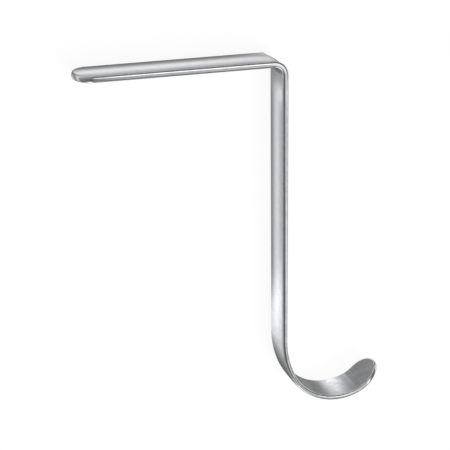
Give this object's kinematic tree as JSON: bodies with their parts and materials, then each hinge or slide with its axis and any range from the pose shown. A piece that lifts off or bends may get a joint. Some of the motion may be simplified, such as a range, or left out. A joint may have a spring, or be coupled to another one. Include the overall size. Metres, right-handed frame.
{
  "type": "hand-held surgical retractor",
  "caption": "Hand-held surgical retractor: a flat steel strap bent square between a straight handle and a long shank, ending in a curled, round-tipped blade.",
  "frame": {"origin": "middle of the outline seen from above, on the surface that the strap's lower edge lies on", "axes": "+Y up the shank towards the handle, +X towards the side the blade curls to, +Z across the width of the strap, away from the edge it lies on"},
  "size_m": [0.1814, 0.2168, 0.0238],
  "materials": {
    "strap_steel": "satin polished stainless steel"
  },
  "bodies": {
    "root": {"retractor": "strap_steel"}
  },
  "joints": []
}
